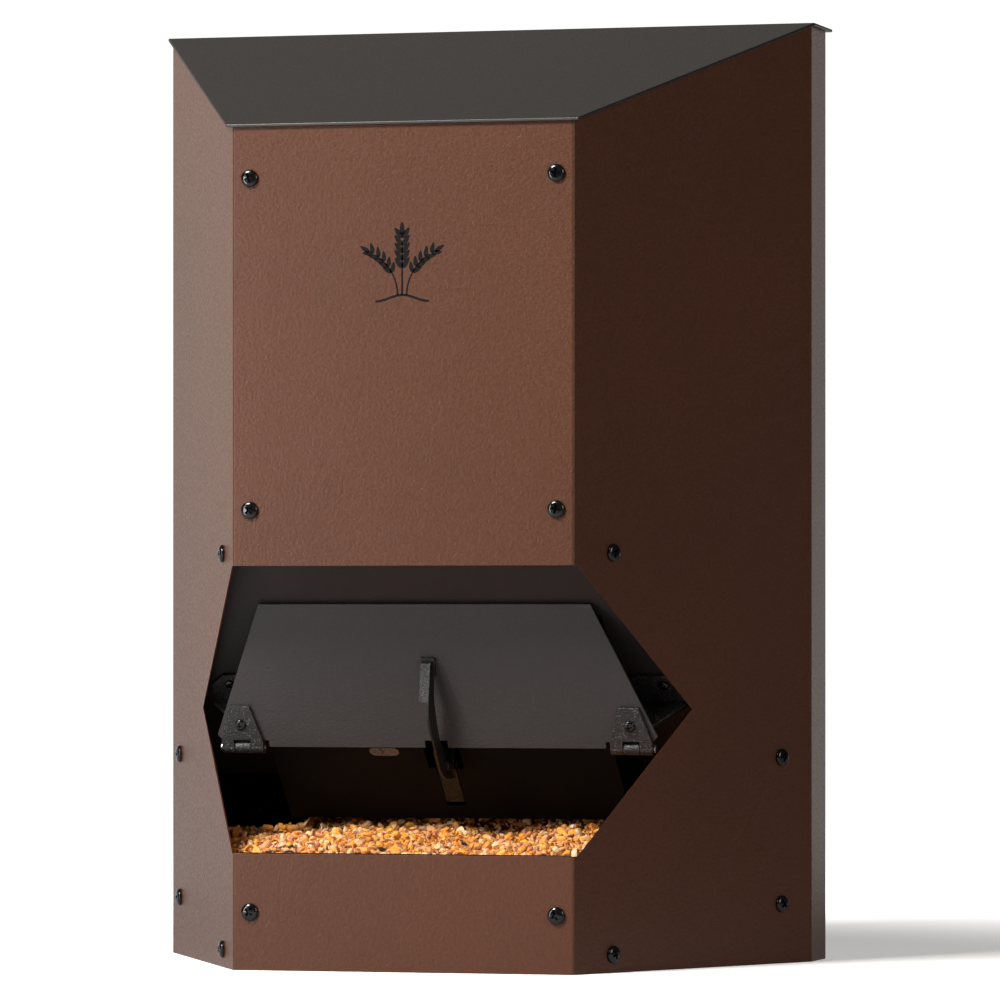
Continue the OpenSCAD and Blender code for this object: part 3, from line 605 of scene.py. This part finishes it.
HINGE = P(0, 85.8, 151.5)
SLAB = Matrix.Translation(HINGE) @ Matrix.Rotation(math.radians(-45), 4, "X")
FLAP = Matrix.Translation(HINGE) @ Matrix.Rotation(math.radians(180 - 71.07), 4, "X")
FLIP = Matrix.Rotation(math.pi, 4, "X")
m4 = pan_screw_mesh(8, 2.4, 4, 8.4, seg=32)
place_many("flap_screws_fine", m4, [M["screw"]],
           [FLAP @ Matrix.Translation(Vector((s * 140, 17.5, 4.2)) * MM) @ Matrix.Rotation(rnd.uniform(0, 3), 4, "Z") for s in (-1, 1)],
           "flap", "door_screws")
m4b = pan_screw_mesh(8, 2.4, 4, 9, seg=32)
place_many("bracket_screws_fine", m4b, [M["screw"]],
           [SLAB @ Matrix.Translation(Vector((s * 157, -16.1, 48.22 - 3)) * MM) @ FLIP @ Matrix.Rotation(rnd.uniform(0, 3), 4, "Z") for s in (-1, 1)],
           "casing", "bracket_screws")

# ------------------------------------------------------------------ printed ear of grain on the front panel
def ear_icon():
    vs, fs = [], []

    def blob(cx, cz, ln, wd, ang, n=20):
        b = len(vs)
        ca, sa = math.cos(ang), math.sin(ang)
        for i in range(n):
            t = 2 * math.pi * i / n
            u = math.cos(t) * ln
            v = math.sin(t) * wd * (1 - 0.35 * math.cos(t))
            x, z = cx + u * ca - v * sa, cz + u * sa + v * ca
            vs.append(P(x, -0.05, z))
        fs.append(tuple(range(b, b + n)))

    def stroke(pts, w0, w1):
        b = len(vs)
        n = len(pts)
        for k, (x, z) in enumerate(pts):
            a = Vector(pts[max(0, k - 1)]); c = Vector(pts[min(n - 1, k + 1)])
            d = (c - a).normalized()
            w = (w0 + (w1 - w0) * k / (n - 1)) / 2
            vs.append(P(x - d.y * w, -0.05, z + d.x * w))
            vs.append(P(x + d.y * w, -0.05, z - d.x * w))
        for k in range(n - 1):
            fs.append((b + 2 * k, b + 2 * k + 1, b + 2 * k + 3, b + 2 * k + 2))

    def ear(x0, z0, lean, size):
        # a stalk with paired grains and a tip grain
        L = 44 * size
        pt = lambda t: (x0 + math.sin(lean * t) * L * t, z0 + math.cos(lean * t) * L * t)
        stroke([pt(k / 10) for k in range(9)], 1.5 * size, 0.9 * size)
        for k in range(5):
            t = 0.42 + k * 0.115
            x, z = pt(t)
            dirn = math.pi / 2 - lean * t * 1.6
            for s in (-1, 1):
                a = dirn + s * 0.62
                blob(x + math.cos(a) * 4.6 * size, z + math.sin(a) * 4.6 * size, 4.3 * size, 1.75 * size, a)
        x, z = pt(1.0)
        a = math.pi / 2 - lean * 1.6
        blob(x + math.cos(a) * 1.5, z + math.sin(a) * 1.5, 4.6 * size, 1.7 * size, a)
    ear(0, 461, 0.0, 1.0)
    ear(-3.2, 461, -0.62, 0.86)
    ear(3.2, 461, 0.62, 0.86)
    stroke([(-19 + k * 3.8, 459 + 2.2 * math.cos(k / 10 * math.pi * 2 - math.pi)) for k in range(11)], 1.6, 1.6)
    o = new_obj("front_grain_mark", vs, fs, [M["print"]])
    bm = bmesh.new()
    bm.from_mesh(o.data)
    for f in bm.faces:
        if f.normal.y > 0:
            f.normal_flip()
    r = bmesh.ops.extrude_face_region(bm, geom=bm.faces[:])
    for v in r["geom"]:
        if isinstance(v, bmesh.types.BMVert):
            v.co.y += 0.00009
    bmesh.ops.recalc_face_normals(bm, faces=bm.faces)
    bm.to_mesh(o.data)
    bm.free()
    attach(o, "casing")


ear_icon()

# ------------------------------------------------------------------ feed
def feed_z(y):
    ys = [0, 9, 20, 60, 100, 138, 152, 185, 255]
    zs = [78.4, 78.4, 80.2, 83.6, 86.8, 89.4, 92, 108, 152]
    return float(np.interp(y, ys, zs))


def half_w(y):
    """inner half width of the casing at this depth"""
    return min(234.0, 119.0 + y * 0.53333)


def lump(x, y):
    """slow unevenness of the feed surface, mm"""
    rise = float(np.interp(x, [-150, -112, -57, 0, 26, 60, 84, 110], [-5.5, 0.5, 2.7, 1.6, -3.2, 0.6, 2.6, 3.0])) * min(1.0, y / 110)
    if y > 138 and abs(x) > 108:
        rise -= (feed_z(y) - 95.0) * min(1.0, (abs(x) - 108) / 14)
    return rise + (0.9 * math.sin(x * 0.031 + 0.7) * math.cos(y * 0.045 + 0.3) + 0.8 * math.sin(x * 0.083 + y * 0.06)
            + 0.6 * math.cos(x * 0.17 - y * 0.11)) 


def grain_mat(name, cols, rough=0.5, spec=0.4, sss=0.0):
    m = Mat(name)
    gi = m.node("ShaderNodeNewGeometry")
    cols = [(p[0] * 0.89, p[1] * 0.90, p[2] * 0.84) for p in cols]
    stops = [(i / max(1, len(cols) - 1), c) for i, c in enumerate(cols)]
    c = m.ramp(gi.outputs["Random Per Island"], stops)
    n = m.noise(900, 4, 0.6)
    c = m.mix(m.remap(n, 0.3, 0.7, 0.0, 0.8), c, m.mix(1.0, c, (0.66, 0.50, 0.38), "MULTIPLY"))
    n2 = m.noise(260, 3, 0.6)
    c = m.mix(m.remap(n2, 0.52, 0.72, 0.0, 0.4), c, (0.92, 0.68, 0.38))
    m.base(c)
    m.rough(m.remap(m.noise(700, 3, 0.6), 0.3, 0.7, rough - 0.12, rough + 0.15))
    m.bump(m.noise(1500, 4, 0.65), 0.5, 0.0004)
    m.set(spec=spec, sss=sss)
    m.bs.inputs["Subsurface Radius"].default_value = (0.0012, 0.0006, 0.0002)
    m.bs.inputs["Subsurface Scale"].default_value = 1.0
    return m


G = [
    grain_mat("grain_corn", [(0.94, 0.33, 0.030), (0.97, 0.46, 0.070), (0.86, 0.25, 0.025), (0.99, 0.56, 0.12), (0.93, 0.36, 0.040),
                             (0.97, 0.42, 0.12), (0.99, 0.52, 0.04)], 0.50, 0.30, 0.08),
    grain_mat("grain_pale", [(0.98, 0.58, 0.31), (0.97, 0.66, 0.38), (0.98, 0.77, 0.54), (0.88, 0.44, 0.24), (0.95, 0.52, 0.29)], 0.52, 0.30, 0.08),
    grain_mat("grain_wheat", [(0.76, 0.36, 0.13), (0.62, 0.25, 0.09), (0.84, 0.46, 0.19)], 0.50, 0.30, 0.05),
    grain_mat("grain_red", [(0.50, 0.16, 0.075), (0.62, 0.24, 0.13), (0.34, 0.09, 0.04), (0.70, 0.32, 0.20)], 0.50, 0.30),
    grain_mat("grain_dark", [(0.030, 0.020, 0.016), (0.05, 0.032, 0.024), (0.02, 0.016, 0.014)], 0.45, 0.4),
    # dark red-brown for the bank under the kernels: painted shade in the gaps
    grain_mat("grain_gap_shade", [(0.30, 0.085, 0.022), (0.36, 0.11, 0.03)], 0.75, 0.1),
]


def hull_template(r, kind):
    """one kernel as a small convex mesh; millimetres"""
    bm = bmesh.new()
    if kind == "chip":                       # cracked corn: sharp irregular shard
        for _ in range(r.randint(10, 14)):
            v = Vector((r.gauss(0, 1), r.gauss(0, 1), r.gauss(0, 1))).normalized()
            k = r.uniform(0.72, 1.0)
            bm.verts.new((v.x * 2.3 * k, v.y * 1.75 * k, v.z * 1.35 * k))
    elif kind == "whole":                    # flattened wedge kernel
        for i in range(9):
            a = 2 * math.pi * i / 9
            w = 3.3 - 1.1 * (0.5 - 0.5 * math.cos(a))
            for (s, q) in ((-1, 0.80), (-0.45, 1.0), (0.45, 1.0), (1, 0.80)):
                bm.verts.new((math.cos(a) * 4.2 * q, math.sin(a) * w * q, s * 1.75 + r.uniform(-0.1, 0.1)))
    elif kind == "oval":                     # wheat or milo berry
        for i in range(7):
            t = -1 + 2 * (i + 0.5) / 7
            rr = math.sqrt(max(0.0, 1 - t * t)) ** 0.9
            for j in range(8):
                a = 2 * math.pi * j / 8 + i * 0.4
                bm.verts.new((t * 3.0, math.cos(a) * 1.5 * rr, math.sin(a) * 1.4 * rr))
    elif kind == "ball":
        for i in range(26):
            t = 1 - 2 * (i + 0.5) / 26
            a = i * 2.399963
            rr = math.sqrt(1 - t * t)
            bm.verts.new((math.cos(a) * rr * 1.9, math.sin(a) * rr * 1.9, t * 1.75))
    elif kind == "seed":                     # striped-seed outline, flattened and pointed
        for i in range(8):
            t = -1 + 2 * i / 7
            rr = (1 - abs(t) ** 2.2) ** 0.6 * (1 - 0.25 * t)
            for j in range(7):
                a = 2 * math.pi * j / 7
                bm.verts.new((t * 4.6, math.cos(a) * 2.1 * rr, math.sin(a) * 1.3 * rr + 1e-4 * j))
    elif kind == "flake":                    # thin bran or rolled flake
        for i in range(10):
            a = 2 * math.pi * i / 10
            k = r.uniform(0.75, 1.05)
            for s in (-1, 1):
                bm.verts.new((math.cos(a) * 2.9 * k, math.sin(a) * 2.2 * k, s * 0.35 + 0.5 * math.cos(2 * a)))
    h = bmesh.ops.convex_hull(bm, input=bm.verts)
    dead = [g for g in h["geom_interior"] if isinstance(g, bmesh.types.BMVert)] + [g for g in h["geom_unused"] if isinstance(g, bmesh.types.BMVert)]
    bmesh.ops.delete(bm, geom=list(set(dead)), context="VERTS")
    bm.verts.ensure_lookup_table()
    bm.verts.index_update()
    v = np.array([x.co for x in bm.verts])
    f = [tuple(x.index for x in g.verts) for g in bm.faces]
    bm.free()
    return v, f


def feed():
    r = random.Random(11)
    T_ = {k: [hull_template(r, k) for _ in range(n)] for k, n in (("chip", 14), ("whole", 3), ("oval", 3), ("ball", 2), ("seed", 3), ("flake", 5))}
    # (weight, template kind, material, smallest and largest scale)
    MIX = [(0.34, "chip", 0, 0.55, 1.0), (0.18, "chip", 0, 0.95, 1.5), (0.08, "chip", 1, 0.5, 1.3), (0.06, "whole", 0, 0.85, 1.15),
           (0.06, "oval", 2, 0.8, 1.2), (0.06, "ball", 3, 0.8, 1.25), (0.010, "seed", 4, 0.8, 1.1), (0.05, "flake", 1, 0.7, 1.4),
           (0.04, "flake", 2, 0.6, 1.3), (0.04, "oval", 1, 0.9, 1.4), (0.035, "whole", 1, 0.8, 1.15), (0.17, "chip", 3, 0.6, 1.3), (0.06, "chip", 2, 0.4, 0.8)]
    cum = np.cumsum([m[0] for m in MIX]) / sum(m[0] for m in MIX)
    vs, fs, mi = [], [], []
    nv = 0

    def put(x, y, z, tilt=1.0, shrink=1.0, pick=None):
        nonlocal nv
        k = int(np.searchsorted(cum, r.random())) if pick is None else pick
        _, kind, mat, s0, s1 = MIX[k]
        v, f = r.choice(T_[kind])
        s = r.uniform(s0, s1) * shrink
        e = Euler((r.gauss(0, 0.6) * tilt + (math.pi if r.random() < 0.5 else 0), r.gauss(0, 0.55) * tilt, r.uniform(0, 2 * math.pi)))
        rot = np.array(e.to_matrix())
        q = (v * s) @ rot.T
        # stays under the closed flap and below the lip
        lim = 77.9 + np.maximum(0.0, q[:, 1] + y - 9.0) * 0.92
        z -= max(0.0, float(np.max(q[:, 2] + z - lim)))
        vs.append(np.stack([(q[:, 0] + x) * MM, (q[:, 1] + y) * MM - YM, (q[:, 2] + z) * MM], 1))
        fs.extend([tuple(i + nv for i in g) for g in f])
        mi.extend([mat] * len(f))
        nv += len(v)

    def layer(y0, y1, step, dz, shrink=1.0, pokes=0.0):
        y = y0
        while y < y1:
            hw = half_w(y) - (5.0 if y < 150 else 14.0)
            x = -hw
            while x < hw:
                xx, yy = x + r.uniform(-0.45, 0.45) * step, y + r.uniform(-0.45, 0.45) * step
                if abs(xx) < half_w(yy) - (4.6 if yy < 148 else 13.5) and yy > 3.6:
                    ramp = min(1.0, max(0.0, (yy - 3) / 16))
                    z = feed_z(yy) + lump(xx, yy) * ramp + dz + r.uniform(-1.0, 1.0)
                    if yy < 13:
                        z = min(z, 77.6 + r.uniform(0, 0.6))
                    if pokes and r.random() < pokes and yy > 16:
                        z += r.uniform(0.5, 2.6)
                    put(xx, yy, z, shrink=(0.62 if yy < 13 else shrink))
                x += step
            y += step
    layer(4.2, 150, 3.3, -2.6)
    layer(4.6, 150, 3.3, -1.2, 0.95)
    layer(16.0, 149, 4.7, 0.9, 1.05, pokes=0.30)
    layer(150, 251, 5.0, -1.5)
    layer(151, 251, 4.6, 0.2)
    # a few kernels spilt on the hem behind the lip
    for _ in range(60):
        put(r.uniform(-114, 114), r.uniform(6.0, 14.0), 78.4 + r.uniform(0, 0.4), 0.5, 0.6)
    v = np.concatenate(vs)
    me = bpy.data.meshes.new("feed_kernels")
    me.from_pydata(v.tolist(), [], fs)
    me.update()
    me.polygons.foreach_set("material_index", mi)
    o = bpy.data.objects.new("feed_kernels", me)
    coll.objects.link(o)
    for g in G:
        me.materials.append(g.m)
    # underlying bank, so no gap shows between kernels; its dark red-brown is painted shade in the gaps
    nx, ny = 90, 60
    bv, bf = [], []
    ys = np.linspace(2.2, 253, ny)
    for y in ys:
        hw = half_w(y) - (3.6 if y < 149 else 12.6)
        for x in np.linspace(-hw, hw, nx):
            ramp = min(1.0, max(0.0, (y - 3) / 16))
            bv.append(P(x, y, min(feed_z(y) - 3.2 + lump(x, y) * ramp, 300)))
    for j in range(ny - 1):
        for i in range(nx - 1):
            a = j * nx + i
            bf.append((a, a + 1, a + nx + 1, a + nx))
    nb = len(bv)
    low = [v - Vector((0, 0, 0.005)) for v in bv]
    bf += [tuple(nb + i for i in f[::-1]) for f in bf]
    ring = [i for i in range(nx)] + [j * nx + nx - 1 for j in range(1, ny)] + [(ny - 1) * nx + i for i in range(nx - 2, -1, -1)] + [j * nx for j in range(ny - 2, 0, -1)]
    for k in range(len(ring)):
        p, q = ring[k], ring[(k + 1) % len(ring)]
        bf.append((q, p, nb + p, nb + q))
    bed = new_obj("feed_bank", bv + low, bf, [G[5]])
    bm = bmesh.new()
    bm.from_mesh(bed.data)
    bmesh.ops.recalc_face_normals(bm, faces=bm.faces)
    bm.to_mesh(bed.data)
    bm.free()
    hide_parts("feed_bed")
    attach(o, "casing")
    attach(bed, "casing")
    return o


feed()

# ------------------------------------------------------------------ floor, light, world
fl = new_obj("floor", [(-14, -14, 0), (14, -14, 0), (14, 14, 0), (-14, 14, 0)], [(0, 1, 2, 3)], [])
fm = bpy.data.materials.new("floor_pale")
fm.use_nodes = True
nt = fm.node_tree
nt.nodes.clear()
fo = nt.nodes.new("ShaderNodeOutputMaterial")
dim = nt.nodes.new("ShaderNodeBsdfDiffuse")
dim.inputs[0].default_value = (0.30, 0.30, 0.30, 1)
lit = nt.nodes.new("ShaderNodeBsdfDiffuse")
lit.inputs[0].default_value = (0.95, 0.95, 0.95, 1)
# for camera rays the floor glows, 0.32 near the object rising to 1.0 a metre out: painted light that whitens the floor
# away from the object
em = nt.nodes.new("ShaderNodeEmission")
gtc = nt.nodes.new("ShaderNodeTexCoord")
glen = nt.nodes.new("ShaderNodeVectorMath")
glen.operation = "LENGTH"
nt.links.new(gtc.outputs["Object"], glen.inputs[0])
gmr = nt.nodes.new("ShaderNodeMapRange")
gmr.interpolation_type = "SMOOTHSTEP"
for k_, v_ in (("From Min", 0.42), ("From Max", 1.0), ("To Min", 0.32), ("To Max", 1.0)):
    gmr.inputs[k_].default_value = v_
nt.links.new(glen.outputs["Value"], gmr.inputs["Value"])
nt.links.new(gmr.outputs[0], em.inputs["Strength"])
add = nt.nodes.new("ShaderNodeAddShader")
mx = nt.nodes.new("ShaderNodeMixShader")
lp = nt.nodes.new("ShaderNodeLightPath")
nt.links.new(lit.outputs[0], add.inputs[0])
nt.links.new(em.outputs[0], add.inputs[1])
nt.links.new(lp.outputs["Is Camera Ray"], mx.inputs[0])
# what the object itself sees: a glowing patch of floor in front and to the left, painted light standing in for bounce
# off the floor
cen = nt.nodes.new("ShaderNodeVectorMath")
cen.operation = "DISTANCE"
cen.inputs[1].default_value = (-0.55, -0.60, 0.0)
nt.links.new(gtc.outputs["Object"], cen.inputs[0])
pm = nt.nodes.new("ShaderNodeMapRange")
pm.interpolation_type = "SMOOTHSTEP"
for k_, v_ in (("From Min", 0.25), ("From Max", 1.5), ("To Min", 0.42), ("To Max", 0.0)):
    pm.inputs[k_].default_value = v_
nt.links.new(cen.outputs["Value"], pm.inputs["Value"])
# and a glow on the floor running back to the sweep, also painted light
bk = nt.nodes.new("ShaderNodeVectorMath")
bk.operation = "DOT_PRODUCT"
bk.inputs[1].default_value = (-0.35, 0.94, 0.0)
nt.links.new(gtc.outputs["Object"], bk.inputs[0])
bm_ = nt.nodes.new("ShaderNodeMapRange")
bm_.interpolation_type = "SMOOTHSTEP"
for k_, v_ in (("From Min", 0.3), ("From Max", 1.4), ("To Min", 0.0), ("To Max", 0.66)):
    bm_.inputs[k_].default_value = v_
nt.links.new(bk.outputs["Value"], bm_.inputs["Value"])
sm_ = nt.nodes.new("ShaderNodeMath")
nt.links.new(pm.outputs[0], sm_.inputs[0])
nt.links.new(bm_.outputs[0], sm_.inputs[1])
em2 = nt.nodes.new("ShaderNodeEmission")
nt.links.new(sm_.outputs[0], em2.inputs["Strength"])
add2 = nt.nodes.new("ShaderNodeAddShader")
nt.links.new(dim.outputs[0], add2.inputs[0])
nt.links.new(em2.outputs[0], add2.inputs[1])
nt.links.new(add2.outputs[0], mx.inputs[1])
nt.links.new(add.outputs[0], mx.inputs[2])
nt.links.new(mx.outputs[0], fo.inputs[0])
fl.data.materials.append(fm)


def area(name, az, el, dist, power, size_x, size_y, color=(1, 1, 1), target=(0, -0.05, 0.30)):
    """azimuth in degrees from straight ahead of the front panel, positive to the right"""
    a, e = math.radians(az), math.radians(el)
    t = Vector(target)
    loc = t + Vector((math.sin(a) * math.cos(e), -math.cos(a) * math.cos(e), math.sin(e))) * dist
    d = bpy.data.lights.new(name, "AREA")
    d.shape = "RECTANGLE"
    d.size = size_x
    d.size_y = size_y
    d.energy = power
    d.color = color
    o = bpy.data.objects.new(name, d)
    o.location = loc
    o.rotation_euler = (t - loc).to_track_quat("-Z", "Y").to_euler()
    coll.objects.link(o)
    return o


area("key", -33, 42, 2.8, 135, 0.80, 0.80, (1.0, 0.965, 0.92))
area("fill_right", 64, 18, 3.0, 22.5, 1.3, 1.3, (1.0, 0.93, 0.86))
area("strip_left", -33, 3, 1.2, 7.2, 0.20, 0.9, (1.0, 1.0, 0.97), (-0.11, -0.13, 0.20))

w = bpy.data.worlds.new("w")
scene.world = w
w.use_nodes = True
nt = w.node_tree
nt.nodes.clear()
out = nt.nodes.new("ShaderNodeOutputWorld")
bg = nt.nodes.new("ShaderNodeBackground")
bgc = nt.nodes.new("ShaderNodeBackground")
mixs = nt.nodes.new("ShaderNodeMixShader")
lp = nt.nodes.new("ShaderNodeLightPath")
tc = nt.nodes.new("ShaderNodeTexCoord")
# a white sweep stands behind and to the left of the object; the rest of the room is dim
dot = nt.nodes.new("ShaderNodeVectorMath")
dot.operation = "DOT_PRODUCT"
dot.inputs[1].default_value = (-0.35, 0.94, -0.10)
nt.links.new(tc.outputs["Generated"], dot.inputs[0])
mr = nt.nodes.new("ShaderNodeMapRange")
mr.interpolation_type = "SMOOTHSTEP"
mr.inputs["From Min"].default_value = 0.50
mr.inputs["From Max"].default_value = 0.98
mr.inputs["To Min"].default_value = 0.03
mr.inputs["To Max"].default_value = 0.80
nt.links.new(dot.outputs["Value"], mr.inputs["Value"])
nt.links.new(mr.outputs[0], bg.inputs["Strength"])
bg.inputs["Color"].default_value = (1, 0.945, 0.87, 1)
bgc.inputs["Color"].default_value = (1, 1, 1, 1)
bgc.inputs["Strength"].default_value = 1.05
nt.links.new(lp.outputs["Is Camera Ray"], mixs.inputs[0])
nt.links.new(bg.outputs[0], mixs.inputs[1])
nt.links.new(bgc.outputs[0], mixs.inputs[2])
nt.links.new(mixs.outputs[0], out.inputs[0])

scene.view_settings.view_transform = "Standard"
scene.view_settings.look = "None"
scene.view_settings.exposure = 0.0
scene.view_settings.gamma = 1.0
